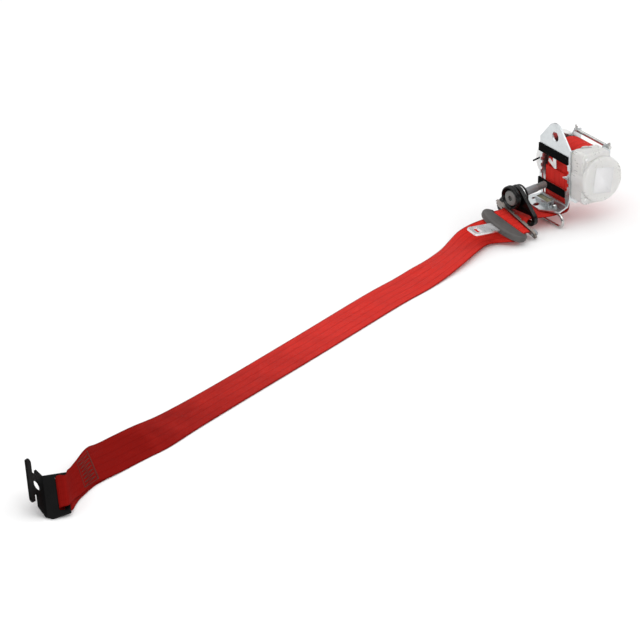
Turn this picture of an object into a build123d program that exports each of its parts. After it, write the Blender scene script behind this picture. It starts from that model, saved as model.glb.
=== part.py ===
from build123d import *
import math
import os

# Three-point seat-belt assembly lying on a floor: an inertia-reel retractor with its pillar
# loop, bolt, guide bar and latch tongue gathered at its foot, and the lap webbing laid out
# to the end anchor. Built in a frame whose X = 0 is the outer face of the retractor's back
# plate, Y = 0 its centre and Z = 0 the floor; everything is moved to the middle of its
# footprint when it is written. Millimetres, +Z up.

# ---------------------------------------------------------------- driving dimensions
webbing_width = 47.0
webbing_thickness = 1.3
touch_gap = 0.3  # between curved or soft faces that rest on each other
seat_gap = 0.05  # between pieces that are fastened to each other
running_gap = 0.05  # radial clearance of a shaft in its bore

frame_width = webbing_width + 11.0
frame_lift = 22.0  # underside of the back plate above the floor
sheet = 2.0
ear_rise = 75.0  # ear hole above the underside of the back plate
ear_radius = 15.5
ear_hole_radius = 5.8
window_low = 17.0
window_high = 49.0
window_width = 49.0
tooth_pitch = 7.5  # notches down both sides of the window
tooth_depth = 3.2
exit_low = 1.0
exit_high = 8.5
exit_width = 43.0
neck_rise = 10.0
neck_width = 49.0
foot_pitch = 10.0
foot_reach = 25.0
lug_hole_radius = 2.2
foot_hole_radius = 3.6
tape_thickness = 1.2
tape_height = 9.4

roll_radius = 28.5
roll_room = 5.5  # from the frame's outer faces to the wound webbing
spool_x = roll_room + roll_radius
spool_rise = roll_room + roll_radius
hub_radius = 9.5
shaft_radius = 4.0
spool_flange_radius = 21.0
spool_flange_thickness = 1.2
bush_radius = 9.0
bush_lip = 1.4

tie_x = spool_x + 17.0
tie_rise = spool_rise + roll_radius
tie_radius = 2.0
tie_overhang = 4.5
tie_edge = 3.0  # from the tie bar to the flange's front edge
tie_cover = 4.5  # and to its top
frame_depth = tie_x + tie_edge
flange_height = tie_rise + tie_cover

cover_depth = 24.5  # round housing
box_depth = 19.6  # box at its front
cover_radius = 26.5
cover_back = 6.0  # housing's centre in front of the spool axis
cover_wall = 1.8
cover_edge = 3.4
spring_cover_radius = roll_radius
spring_cover_depth = 17.0
spring_turns = 5
spring_strip = 0.5

ratchet_radius = 15.5
ratchet_tooth = 3.0
ratchet_teeth = 18
ratchet_thickness = 3.0
tooth_phase = math.radians(-3.0)  # leaves a gap where the pawl's corner comes up
inertia_disc_radius = 13.5
inertia_disc_thickness = 1.6
pawl_pin_radius = 1.8
ball_radius = 4.0

hoop_rod_radius = 1.8
hoop_x = -12.0
hoop_half_width = 27.5

bolt_head_radius = 9.0
bolt_head_thickness = 4.0
socket_radius = 3.4
socket_depth = 2.6
shank_radius = 4.0
sleeve_radius = 4.4
bolt_length = 53.0
loop_offset = 10.0  # head face to the middle of the pillar loop
loop_thickness = 5.0
loop_hub_radius = 12.5
loop_slot_width = webbing_width + 6.0
loop_half_width = loop_slot_width / 2 + 4.5
loop_bar_radius = 4.6
loop_slot_height = 8.4
loop_drop = 20.3  # bolt axis to the middle of the slot

tongue_depth = 35.0
tongue_thickness = 8.0
tongue_slot_length = webbing_width + 3.5
tongue_end = 5.75  # solid end beyond the slot
tongue_length = tongue_slot_length + 2 * tongue_end
tongue_slot_height = 7.0
latch_reach = 44.0
latch_width = 14.5
latch_thickness = 2.4
latch_window = 9.0

guide_bar_length = webbing_width + 28.0
guide_bar_width = 9.6
guide_bar_thickness = 2.2

anchor_thickness = 2.6
anchor_hole_radius = 5.6
anchor_bar_length = 50.0
anchor_low = 33.5  # lower end of the bend
anchor_high = 14.0

os.makedirs("parts", exist_ok=True)
pieces = []


def keep(part, name):
    """Labels a finished piece and lists it for writing."""
    part.label = name
    pieces.append(part)


def unit(x, y, z):
    return Vector(x, y, z).normalized()


# ---------------------------------------------------------------- shared places
half = frame_width / 2
spool_z = frame_lift + spool_rise
spool_axis = Plane(origin=(spool_x, 0, spool_z), x_dir=(1, 0, 0), z_dir=(0, -1, 0))
flange_in = half - sheet
bolt_dir = unit(0.988, 0.139, 0.065)
bolt_head = Vector(-58.2, 1.8, 35.2)
bolt_side = unit(-0.139, 0.988, 0)
bolt_plane = Plane(origin=bolt_head, x_dir=bolt_side, z_dir=bolt_dir)
tongue_dir = unit(-0.93, -0.32, 0.20)
tongue_side = unit(0.251, -0.919, -0.303)
tongue_normal = tongue_dir.cross(tongue_side).normalized()
tongue_side = tongue_normal.cross(tongue_dir).normalized()
tongue_centre = Vector(-77.6, -21.0, 15.6)
tongue_plane = Plane(origin=tongue_centre, x_dir=tongue_dir, z_dir=tongue_normal)
tongue_profile = Plane(origin=tongue_centre, x_dir=tongue_dir, z_dir=tongue_side * -1)

# ---------------------------------------------------------------- retractor frame
back_plate = Plane.YZ
foot_plane = Plane(
    origin=(0, 0, frame_lift),
    x_dir=(0, 1, 0),
    z_dir=(-math.sin(math.radians(foot_pitch)), 0, math.cos(math.radians(foot_pitch))),
)
with BuildPart() as frame:
    with BuildSketch(back_plate):
        with BuildLine():
            CenterArc((0, frame_lift + ear_rise), ear_radius, 0, 360)
            Line((-half, frame_lift + flange_height), (half, frame_lift + flange_height))
        make_hull()
        with Locations((0, frame_lift + (neck_rise + flange_height) / 2)):
            Rectangle(frame_width, flange_height - neck_rise)
        with BuildLine():
            Polyline(
                (-half, frame_lift + neck_rise),
                (half, frame_lift + neck_rise),
                (neck_width / 2, frame_lift - sheet),
                (-neck_width / 2, frame_lift - sheet),
                close=True,
            )
        make_face()
        with Locations((0, frame_lift + ear_rise)):
            Circle(ear_hole_radius, mode=Mode.SUBTRACT)
        with Locations((0, frame_lift + (window_low + window_high) / 2)):
            RectangleRounded(window_width, window_high - window_low, 3, mode=Mode.SUBTRACT)
            with GridLocations(window_width + 1.0, tooth_pitch, 2, 3):
                RegularPolygon(tooth_depth, 4, rotation=45, mode=Mode.SUBTRACT)
        with Locations((0, frame_lift + (exit_low + exit_high) / 2)):
            RectangleRounded(exit_width, exit_high - exit_low, 1.5, mode=Mode.SUBTRACT)
    extrude(amount=sheet)
    # Side flanges with an ear for the tie bar and an opening for the spool's bush.
    for side in (-1, 1):
        with BuildSketch(Plane.XZ.offset(side * half)):
            with BuildLine():
                Polyline(
                    (0, frame_lift + neck_rise),
                    (8, frame_lift + 4),
                    (frame_depth - 10, frame_lift + 4),
                    (frame_depth, frame_lift + 16),
                    (frame_depth + 1, frame_lift + flange_height - 2),
                    (tie_x - 5, frame_lift + flange_height - 2),
                    (tie_x - 9, frame_lift + flange_height - 8),
                    (30, frame_lift + flange_height - 2),
                    (22, frame_lift + flange_height),
                    (0, frame_lift + flange_height),
                    close=True,
                )
            make_face()
            with Locations((spool_x, spool_z)):
                Circle(bush_radius, mode=Mode.SUBTRACT)
            with Locations((tie_x, frame_lift + tie_rise)):
                Circle(tie_radius + seat_gap, mode=Mode.SUBTRACT)
        extrude(amount=-side * sheet)
    # Foot bent out below the webbing exit.
    with BuildSketch(foot_plane):
        with BuildLine():
            Polyline(
                (-neck_width / 2, -sheet),
                (-half, 13),
                (-7, foot_reach),
                (20, foot_reach - 2),
                (half + 1, 14),
                (neck_width / 2, -sheet),
                close=True,
            )
        make_face()
        with Locations((20.4, 13.4)):
            Circle(lug_hole_radius, mode=Mode.SUBTRACT)
        with Locations((6, 20.0)):
            Circle(foot_hole_radius, mode=Mode.SUBTRACT)
    extrude(amount=-sheet)
keep(frame.part, "frame")

# ---------------------------------------------------------------- tapes on the back plate
for name, rise, low_y in (("tape_upper", 49.5, -25.0), ("tape_lower", 9.0, -20.0)):
    with BuildPart() as tape:
        with BuildSketch(Plane.XY.offset(frame_lift + rise)):
            with BuildLine():
                Polyline(
                    (0, low_y),
                    (0, half),
                    (7, half),
                    (7, half + tape_thickness),
                    (-tape_thickness, half + tape_thickness),
                    (-tape_thickness, low_y),
                    close=True,
                )
            make_face()
        extrude(amount=tape_height - (0.5 if name == "tape_lower" else 0))
    keep(tape.part, name)

# ---------------------------------------------------------------- tie bar
with BuildPart() as tie_bar:
    tie_length = frame_width + 2 * tie_overhang
    tie_plane = Plane(
        origin=(tie_x, -tie_length / 2, frame_lift + tie_rise), x_dir=(1, 0, 0), z_dir=(0, 1, 0)
    )
    with BuildSketch(tie_plane):
        Circle(tie_radius)
    extrude(amount=tie_length)
    for end in (-1, 1):
        for prong in (0, 1):
            prong_y = end * (half + tie_overhang - 1 - prong * 2.2)
            with BuildSketch(Plane.XY.offset(frame_lift + tie_rise)):
                with Locations((tie_x, prong_y)):
                    Circle(0.9)
            extrude(amount=5.5 - prong)
keep(tie_bar.part, "tie_bar")

# ---------------------------------------------------------------- spool and shaft
spool_half = webbing_width / 2 + touch_gap
with BuildPart() as spool:
    with BuildSketch(spool_axis.offset(-spool_half)):
        Circle(hub_radius)
    extrude(amount=2 * spool_half)
    for side in (-1, 1):
        start = spool_half if side > 0 else -spool_half - spool_flange_thickness
        with BuildSketch(spool_axis.offset(start)):
            Circle(spool_flange_radius)
            with PolarLocations((spool_flange_radius + hub_radius) / 2, 6):
                Circle(2.5, mode=Mode.SUBTRACT)
        extrude(amount=spool_flange_thickness)
    with BuildSketch(spool_axis.offset(-spool_half - spool_flange_thickness)):
        Circle(shaft_radius + seat_gap)
    extrude(amount=2 * (spool_half + spool_flange_thickness), mode=Mode.SUBTRACT)
keep(spool.part, "spool")

with BuildPart() as webbing_roll:
    with BuildSketch(spool_axis.offset(-webbing_width / 2)):
        Circle(roll_radius)
        Circle(hub_radius + seat_gap, mode=Mode.SUBTRACT)
    extrude(amount=webbing_width)
keep(webbing_roll.part, "webbing_roll")

shaft_right = half + 12.0
shaft_left = half + spring_cover_depth - 4.0
with BuildPart() as torsion_bar:
    with BuildSketch(spool_axis.offset(-shaft_left)):
        Circle(shaft_radius)
    extrude(amount=shaft_left + shaft_right)
keep(torsion_bar.part, "torsion_bar")

# Bushes that carry the shaft in the flanges, each with a lip outside.
for side, name in ((1, "bush_right"), (-1, "bush_left")):
    with BuildPart() as bush:
        inner = side * (flange_in + 0.2)
        outer = side * half
        with BuildSketch(spool_axis.offset(min(inner, outer))):
            Circle(bush_radius - seat_gap)
        extrude(amount=abs(outer - inner))
        with BuildSketch(spool_axis.offset(min(outer, outer + side * bush_lip))):
            Circle(bush_radius + 2)
        extrude(amount=bush_lip)
        with BuildSketch(spool_axis.offset(-half - bush_lip)):
            Circle(shaft_radius + running_gap)
        extrude(amount=2 * (half + bush_lip), mode=Mode.SUBTRACT)
    keep(bush.part, name)

# ---------------------------------------------------------------- lock: ratchet, inertia disc, pawl
ratchet_start = half + bush_lip + touch_gap
with BuildPart() as ratchet_wheel:
    with BuildSketch(spool_axis.offset(ratchet_start)):
        outline = []
        for tooth in range(ratchet_teeth):
            start = 2 * math.pi * tooth / ratchet_teeth + tooth_phase
            for radius, angle in ((ratchet_radius - ratchet_tooth, start), (ratchet_radius, start)):
                outline.append((radius * math.cos(angle), radius * math.sin(angle)))
        with BuildLine():
            Polyline(*outline, close=True)
        make_face()
        Circle(shaft_radius + seat_gap, mode=Mode.SUBTRACT)
    extrude(amount=ratchet_thickness)
keep(ratchet_wheel.part, "ratchet_wheel")

disc_start = ratchet_start + ratchet_thickness + 1.0
with BuildPart() as inertia_disc:
    with BuildSketch(spool_axis.offset(disc_start)):
        Circle(inertia_disc_radius)
        with PolarLocations(inertia_disc_radius * 0.62, 5):
            Circle(2.2, mode=Mode.SUBTRACT)
        Circle(shaft_radius + seat_gap, mode=Mode.SUBTRACT)
    extrude(amount=inertia_disc_thickness)
keep(inertia_disc.part, "inertia_disc")

pawl_pivot = (spool_x - 10.5, spool_z - ratchet_radius - 4.2)
pin_end = ratchet_start + ratchet_thickness + 1.0
with BuildPart() as pawl_pin:
    pin_plane = Plane(
        origin=(pawl_pivot[0], 0, pawl_pivot[1]), x_dir=(1, 0, 0), z_dir=(0, -1, 0)
    )
    with BuildSketch(pin_plane.offset(half + seat_gap)):
        Circle(pawl_pin_radius)
    extrude(amount=pin_end - half)
keep(pawl_pin.part, "pawl_pin")

with BuildPart() as lock_pawl:
    with BuildSketch(pin_plane.offset(ratchet_start)):
        with BuildLine():
            Polyline((11, 3.2), (14, 0.4), (9, -3.0), (0, -3.2), (0, 3.2), close=True)
        make_face()
        Circle(3.2)
        Circle(pawl_pin_radius + running_gap, mode=Mode.SUBTRACT)
    extrude(amount=ratchet_thickness)
keep(lock_pawl.part, "lock_pawl")

# ---------------------------------------------------------------- vehicle sensor: cup, ball, lever
ball_x = spool_x - 19.0
ball_z = spool_z - 15.5
cup_wall = 2.4
sensor_y = -half - 12.5
lever_width = 6.0
lever_pin_radius = 0.8
cheek = 1.2
lever_pivot_x = ball_x - 7.5
lever_z = ball_z + ball_radius + 2.1
lever_plane = Plane(origin=(lever_pivot_x, sensor_y, lever_z), x_dir=(1, 0, 0), z_dir=(0, -1, 0))
with BuildPart() as sensor_housing:
    with BuildSketch(Plane.XY.offset(ball_z - ball_radius - cup_wall)):
        with Locations((ball_x - 1.2, sensor_y)):
            RectangleRounded(15.6, 9.0, 2)
    extrude(amount=3.0)
    with BuildSketch(Plane.XY.offset(ball_z - ball_radius - cup_wall)):
        with Locations((lever_pivot_x, sensor_y)):
            with GridLocations(0, lever_width + 2 * touch_gap + cheek, 1, 2):
                Rectangle(3.0, cheek)
    extrude(amount=lever_z + 1.5 - (ball_z - ball_radius - cup_wall))
    with BuildSketch(lever_plane.offset(-lever_width)):
        Circle(lever_pin_radius)
    extrude(amount=2 * lever_width, mode=Mode.SUBTRACT)
    with Locations((ball_x, sensor_y, ball_z)):
        Sphere(ball_radius + 0.2, mode=Mode.SUBTRACT)
    # Stalk that fastens the cup to the frame's flange.
    stalk_plane = Plane(
        origin=(ball_x, -half - seat_gap, ball_z - ball_radius - 0.9), x_dir=(1, 0, 0), z_dir=(0, -1, 0)
    )
    with BuildSketch(stalk_plane):
        Rectangle(9, 3.0)
    extrude(amount=-sensor_y - half - 4.0)
keep(sensor_housing.part, "sensor_housing")

with BuildPart() as sensor_ball:
    with Locations((ball_x, sensor_y, ball_z)):
        Sphere(ball_radius)
keep(sensor_ball.part, "sensor_ball")

with BuildPart() as sensor_lever:
    with BuildSketch(lever_plane.offset(-lever_width / 2)):
        Circle(1.5)
        with BuildLine():
            Polyline((0, -0.8), (16, -0.8), (18, 3.5), (16.5, 3.8), (14.5, 0.8), (0, 0.8), close=True)
        make_face()
        Circle(lever_pin_radius + running_gap, mode=Mode.SUBTRACT)
    extrude(amount=lever_width)
keep(sensor_lever.part, "sensor_lever")

with BuildPart() as lever_pin:
    with BuildSketch(lever_plane.offset(-lever_width / 2 - touch_gap - cheek)):
        Circle(lever_pin_radius - seat_gap / 2)
    extrude(amount=lever_width + 2 * (touch_gap + cheek))
keep(lever_pin.part, "lever_pin")

# ---------------------------------------------------------------- right cover over the lock
cover_low = ball_z - ball_radius - cup_wall - 1.3 - cover_wall
cover_high = frame_lift + flange_height + 1.5


cover_plane = Plane(origin=(0, -half - seat_gap, 0), x_dir=(1, 0, 0), z_dir=(0, -1, 0))
cover_middle = (cover_low + cover_high) / 2
cover_centre = (spool_x - cover_back, spool_z + 2.0)


def cover_layers(shrink):
    """The lid's three levels, each as its depth and a function that draws its outline."""

    def box():
        with Locations((spool_x - 13.0, cover_middle)):
            RectangleRounded(37 - 2 * shrink, cover_high - cover_low - 2 * shrink, 6 - shrink)

    def hump():
        with Locations((spool_x - 20.0, cover_middle + 7.0)):
            RectangleRounded(17 - 2 * shrink, 27 - 2 * shrink, 5 - shrink)

    def round_housing():
        with Locations(cover_centre):
            Circle(cover_radius - shrink)

    return ((box_depth, box), (box_depth + 1.2, hump), (cover_depth, round_housing))


with BuildPart() as sensor_cover:
    for depth, outline in cover_layers(0):
        with BuildSketch(cover_plane):
            outline()
        extrude(amount=depth)
    fillet(sensor_cover.faces().sort_by(Axis.Y)[0].edges(), cover_edge)
    for depth, outline in cover_layers(cover_wall):
        with BuildSketch(cover_plane):
            outline()
        extrude(amount=depth - cover_wall, mode=Mode.SUBTRACT)
keep(sensor_cover.part, "sensor_cover")

# ---------------------------------------------------------------- left cover, arbor and clock spring
spring_start = -half - spring_cover_depth
with BuildPart() as spring_cover:
    with BuildSketch(spool_axis.offset(spring_start)):
        Circle(spring_cover_radius)
    extrude(amount=spring_cover_depth - seat_gap)
    fillet(spring_cover.faces().sort_by(Axis.Y)[-1].edges(), 3)
    with BuildSketch(spool_axis.offset(spring_start + cover_wall)):
        Circle(spring_cover_radius - cover_wall)
    extrude(amount=spring_cover_depth, mode=Mode.SUBTRACT)
keep(spring_cover.part, "spring_cover")

arbor_radius = shaft_radius + 2.5
arbor_start = -shaft_left + 0.5
arbor_width = 6.5
with BuildPart() as spring_arbor:
    with BuildSketch(spool_axis.offset(arbor_start)):
        Circle(arbor_radius)
        Circle(shaft_radius + seat_gap, mode=Mode.SUBTRACT)
    extrude(amount=arbor_width)
keep(spring_arbor.part, "spring_arbor")

with BuildPart() as return_spring:
    spring_low = arbor_radius + touch_gap + spring_strip / 2
    spring_high = spring_cover_radius - cover_wall - seat_gap - spring_strip / 2
    pitch = (spring_high - spring_low) / (spring_turns * 2)
    with BuildSketch(spool_axis.offset(arbor_start + 0.5)):
        with BuildLine() as spiral:
            for turn in range(spring_turns * 2):
                r = spring_low + pitch * (turn + 0.5)
                shift = pitch / 2 * (1 if turn % 2 == 0 else -1)
                CenterArc((shift, 0), r, 180 * (turn % 2), 180)
        trace(spiral.edges(), line_width=spring_strip)
    extrude(amount=arbor_width - 1.0)
keep(return_spring.part, "return_spring")

# ---------------------------------------------------------------- cover rivets
with BuildPart() as cover_rivets:
    rivet_x = spool_x - 26.0
    for x, z in ((rivet_x, cover_high - 6), (rivet_x, cover_low + 6), (rivet_x + 12, cover_low + 6)):
        rivet = Plane(origin=(x, -half - box_depth, z), x_dir=(1, 0, 0), z_dir=(0, -1, 0))
        with BuildSketch(rivet.offset(seat_gap)):
            Circle(1.9)
        extrude(amount=1.0)
keep(cover_rivets.part, "cover_rivets")

# ---------------------------------------------------------------- foot furniture
pocket_centre = (4.0, 9.5)
with BuildPart() as pocket:
    with BuildSketch(foot_plane.offset(seat_gap)):
        with Locations(pocket_centre):
            RectangleRounded(25, 9.6, 1.2)
    extrude(amount=4.6)
    with BuildSketch(foot_plane.offset(seat_gap + 1.0)):
        with Locations(pocket_centre):
            RectangleRounded(22.0, 7.0, 0.6)
    extrude(amount=4.6, mode=Mode.SUBTRACT)
keep(pocket.part, "guide_pocket")

with BuildPart() as pocket_insert:
    with BuildSketch(foot_plane.offset(2 * seat_gap + 1.0)):
        with Locations(pocket_centre):
            RectangleRounded(21.6, 6.6, 0.5)
    extrude(amount=1.8)
    with BuildSketch(foot_plane.offset(2 * seat_gap + 2.8)):
        with Locations((pocket_centre[0] + 2.0, pocket_centre[1])):
            with GridLocations(0, 1.9, 1, 3):
                Rectangle(16.0, 0.9)
    extrude(amount=0.8)
keep(pocket_insert.part, "pocket_insert")

with BuildPart() as foot_rivet:
    with BuildSketch(foot_plane.offset(seat_gap)):
        with Locations((-14.0, 9.0)):
            Circle(3.0)
    extrude(amount=3.0)
    chamfer(foot_rivet.faces().sort_by(Axis.Z)[-1].edges(), 0.8)
keep(foot_rivet.part, "foot_rivet")

pitch_rad = math.radians(foot_pitch)
foot_under = frame_lift + hoop_x * math.tan(pitch_rad) - sheet / math.cos(pitch_rad)
hoop_top = foot_under - hoop_rod_radius / math.cos(pitch_rad) - seat_gap
hoop_bottom = hoop_rod_radius
hoop_leg = webbing_width / 2 + 2 * touch_gap
with BuildPart() as guide_hoop:
    with BuildSketch(Plane(origin=(hoop_x, 0, hoop_bottom), x_dir=(1, 0, 0), z_dir=(0, 1, 0))):
        Circle(hoop_rod_radius)
    extrude(amount=hoop_half_width, both=True)
    for side in (-1, 1):
        with BuildSketch(
            Plane(origin=(hoop_x, side * hoop_leg, hoop_top), x_dir=(1, 0, 0), z_dir=(0, side, 0))
        ):
            Circle(hoop_rod_radius)
        extrude(amount=hoop_half_width - hoop_leg)
        end_plane = Plane(
            origin=(hoop_x, side * hoop_half_width, hoop_bottom), x_dir=(1, 0, 0), z_dir=(0, side, 0)
        )
        with BuildSketch(end_plane):
            Circle(hoop_rod_radius)
        end_centre = (hoop_x, side * hoop_half_width, (hoop_top + hoop_bottom) / 2)
        revolve(axis=Axis(end_centre, (side, 0, 0)), revolution_arc=180)
keep(guide_hoop.part, "guide_hoop")

# ---------------------------------------------------------------- webbing from the roll to the tongue
feed_x = spool_x - roll_radius - touch_gap - webbing_thickness / 2
feed_bend = 4.6
feed_low = 14.3
feed_end = 24.0
mid_start = feed_end + touch_gap
with BuildPart() as webbing_feed:
    with BuildSketch(Plane.XZ):
        with BuildLine() as feed:
            Line((feed_x, spool_z), (feed_x, feed_low + feed_bend))
            TangentArc(
                (feed_x, feed_low + feed_bend), (feed_x - feed_bend, feed_low), tangent=(0, -1)
            )
            Line((feed_x - feed_bend, feed_low), (-feed_end, feed_low))
        trace(feed.edges(), line_width=webbing_thickness)
    extrude(amount=webbing_width / 2, both=True)
keep(webbing_feed.part, "webbing_feed")

loop_plane = bolt_plane.offset(loop_offset)
loop_slot = loop_plane.origin - loop_plane.y_dir * loop_drop
# The steel guide bar stands across the webbing, between the loop and the tongue.
guide_along = unit(4.0, -72.0, -18.0)
guide_across = unit(0.92, 0.08, 0.38)
guide_across = (guide_across - guide_along * guide_across.dot(guide_along)).normalized()
guide_plane = Plane(origin=(-57.6, -8.6, 13.6), x_dir=guide_along, z_dir=guide_across)
slot_before = 12.8  # the webbing's two ways through the tongue, from its centre
slot_after = 14.3
mid_end = tongue_centre - tongue_dir * slot_before + tongue_normal * 3.6
with BuildPart() as webbing_mid:
    start_plane = Plane(origin=(-mid_start, 0, feed_low), x_dir=(0, 1, 0), z_dir=(-1, 0, 0))
    slot_plane = Plane(
        origin=loop_slot, x_dir=(-0.05, 1, 0), z_dir=(-1, -0.05, 0)
    )
    near_plane = Plane(
        origin=guide_plane.origin + guide_across * (guide_bar_thickness + 0.6),
        x_dir=guide_along * -1,
        z_dir=guide_across * -1,
    )
    far_plane = near_plane.offset(guide_bar_thickness + 1.2)
    end_plane = Plane(origin=mid_end, x_dir=tongue_side * -1, z_dir=tongue_dir)
    for plane in (start_plane, slot_plane, near_plane, far_plane, end_plane):
        with BuildSketch(plane):
            Rectangle(webbing_width, webbing_thickness)
    loft(ruled=True)
keep(webbing_mid.part, "webbing_mid")

with BuildPart() as webbing_tongue:
    with BuildSketch(tongue_profile):
        with BuildLine() as through:
            FilletPolyline(
                (-12.5, 3.6),
                (-3.8, 3.6),
                (0.2, -5.5),
                (14.0, -5.5),
                radius=2.0,
            )
        trace(through.edges(), line_width=webbing_thickness)
    extrude(amount=webbing_width / 2, both=True)
keep(webbing_tongue.part, "webbing_tongue")

# ---------------------------------------------------------------- pillar loop and its bolt
loop_end_radius = loop_slot_height / 2 + loop_bar_radius
with BuildPart() as pillar_loop:
    with BuildSketch(loop_plane.offset(-loop_thickness / 2)):
        with BuildLine():
            CenterArc((0, 0), loop_hub_radius, 0, 360)
            for end in (-1, 1):
                end_x = end * (loop_half_width - loop_end_radius)
                CenterArc((end_x, -loop_drop), loop_end_radius, 0, 360)
        make_hull()
        with Locations((0, -loop_drop)):
            SlotOverall(loop_slot_width, loop_slot_height, mode=Mode.SUBTRACT)
    extrude(amount=loop_thickness)
    with BuildSketch(loop_plane.offset(-loop_thickness / 2 - 1.2)):
        Circle(loop_hub_radius - 2)
    extrude(amount=1.2)
    with BuildSketch(loop_plane.offset(-loop_thickness)):
        Circle(shank_radius + running_gap)
    extrude(amount=2 * loop_thickness, mode=Mode.SUBTRACT)
keep(pillar_loop.part, "pillar_loop")

with BuildPart() as anchor_bolt:
    with BuildSketch(bolt_plane):
        Circle(bolt_head_radius)
    extrude(amount=bolt_head_thickness)
    fillet(anchor_bolt.edges().group_by(Axis(bolt_plane.origin, bolt_plane.z_dir))[0], 1.2)
    with BuildSketch(bolt_plane):
        RegularPolygon(socket_radius, 6)
    extrude(amount=socket_depth, mode=Mode.SUBTRACT)
    with BuildSketch(bolt_plane.offset(bolt_head_thickness)):
        Circle(shank_radius)
    extrude(amount=bolt_length - bolt_head_thickness)
    tip_edge = anchor_bolt.edges().group_by(Axis(bolt_plane.origin, bolt_plane.z_dir))[-1]
    chamfer(tip_edge, 0.8)
keep(anchor_bolt.part, "anchor_bolt")

boot_front = -1.0
boot_back = loop_offset - loop_thickness / 2 - 1.2 - touch_gap
boot_shift = (0.6, 0.5)
with BuildPart() as bolt_boot:
    with BuildSketch(bolt_plane.offset(boot_front)):
        with Locations(boot_shift):
            Circle(bolt_head_radius + 4.4)
    extrude(amount=boot_back - boot_front)
    fillet(bolt_boot.edges().group_by(Axis(bolt_plane.origin, bolt_plane.z_dir))[0], 1.0)
    with BuildSketch(bolt_plane.offset(boot_front)):
        with Locations(boot_shift):
            Circle(bolt_head_radius + 2.6)
    extrude(amount=bolt_head_thickness + touch_gap - boot_front, mode=Mode.SUBTRACT)
    with BuildSketch(bolt_plane):
        Circle(shank_radius + running_gap)
    extrude(amount=boot_back, mode=Mode.SUBTRACT)
keep(bolt_boot.part, "bolt_boot")

washer_start = loop_offset + loop_thickness / 2 + touch_gap
for name, thickness, radius in (("chrome_washer", 2.4, 11.0), ("rubber_washer", 1.8, 11.6)):
    with BuildPart() as washer:
        with BuildSketch(bolt_plane.offset(washer_start)):
            Circle(radius)
            Circle(shank_radius + running_gap, mode=Mode.SUBTRACT)
        extrude(amount=thickness)
        fillet(washer.faces().edges().filter_by(GeomType.CIRCLE).group_by(SortBy.RADIUS)[-1], 0.5)
    keep(washer.part, name)
    washer_start += thickness + touch_gap

with BuildPart() as spacer_sleeve:
    with BuildSketch(bolt_plane.offset(washer_start)):
        Circle(sleeve_radius)
        Circle(shank_radius + running_gap, mode=Mode.SUBTRACT)
    extrude(amount=bolt_length - 14.0 - washer_start)
keep(spacer_sleeve.part, "spacer_sleeve")

# ---------------------------------------------------------------- steel guide bar round the webbing
guide_slot = (webbing_width + 4.0, 4.4)
with BuildPart() as guide_bar:
    with BuildSketch(guide_plane):
        SlotOverall(guide_bar_length, guide_bar_width)
        SlotOverall(*guide_slot, mode=Mode.SUBTRACT)
        with Locations((guide_bar_length / 2 - 6.0, 0)):
            Circle(1.6, mode=Mode.SUBTRACT)
        with Locations((-guide_bar_length / 2, 0)):
            Rectangle(9, 3.0, mode=Mode.SUBTRACT)
    extrude(amount=guide_bar_thickness)
    # Stiffening ribs pressed up along the upper edge.
    with BuildSketch(guide_plane.offset(guide_bar_thickness)):
        with Locations((-4, 1.3 - guide_bar_width / 2)):
            with GridLocations(13.0, 0, 4, 1):
                RectangleRounded(9.0, 1.9, 0.8)
    extrude(amount=1.3)
keep(guide_bar.part, "guide_bar")

with BuildPart() as guide_nut:
    with BuildSketch(guide_plane.offset(guide_bar_thickness + seat_gap)):
        with Locations((guide_bar_length / 2 - 6.0, 0)):
            RegularPolygon(3.6, 6)
    extrude(amount=3.4)
    with BuildSketch(guide_plane.offset(guide_bar_thickness + seat_gap)):
        with Locations((guide_bar_length / 2 - 6.0, 0)):
            Circle(1.4)
    extrude(amount=-guide_bar_thickness - 1.0)
keep(guide_nut.part, "guide_nut")

# ---------------------------------------------------------------- latch tongue
with BuildPart() as tongue_cover:
    with BuildSketch(tongue_plane.offset(-tongue_thickness / 2)):
        with Locations((tongue_depth / 2 - 12.0, 0)):
            Ellipse(tongue_depth / 2, tongue_length / 2)
    extrude(amount=tongue_thickness)
    fillet(tongue_cover.edges(), tongue_thickness / 2 - 0.8)
    with BuildSketch(tongue_plane.offset(-tongue_thickness)):
        with Locations((-1.6, 0)):
            SlotOverall(tongue_slot_length, tongue_slot_height, rotation=90)
    extrude(amount=2 * tongue_thickness, mode=Mode.SUBTRACT)
    # Step behind the slot that the webbing rides over.
    with BuildSketch(tongue_plane.offset(2.6)):
        with Locations((-9, 0)):
            Rectangle(15, tongue_slot_length)
    extrude(amount=tongue_thickness, mode=Mode.SUBTRACT)
    with BuildSketch(tongue_plane.offset(-latch_thickness / 2 - seat_gap)):
        with Locations((tongue_depth - 12.0, 0)):
            Rectangle(24, latch_width + 2 * seat_gap)
    extrude(amount=latch_thickness + 2 * seat_gap, mode=Mode.SUBTRACT)
keep(tongue_cover.part, "tongue_cover")

latch_root = tongue_depth - 24.0 + seat_gap
latch_tip = tongue_depth - 12.0 + latch_reach
with BuildPart() as latch_plate:
    with BuildSketch(tongue_plane.offset(-latch_thickness / 2)):
        with Locations(((latch_root + latch_tip) / 2, 0)):
            RectangleRounded(latch_tip - latch_root, latch_width, 3.0)
        with Locations((latch_tip - 6.0 - latch_window / 2, 0)):
            RectangleRounded(latch_window, latch_window, 1.2, mode=Mode.SUBTRACT)
    extrude(amount=latch_thickness)
keep(latch_plate.part, "latch_plate")

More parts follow.
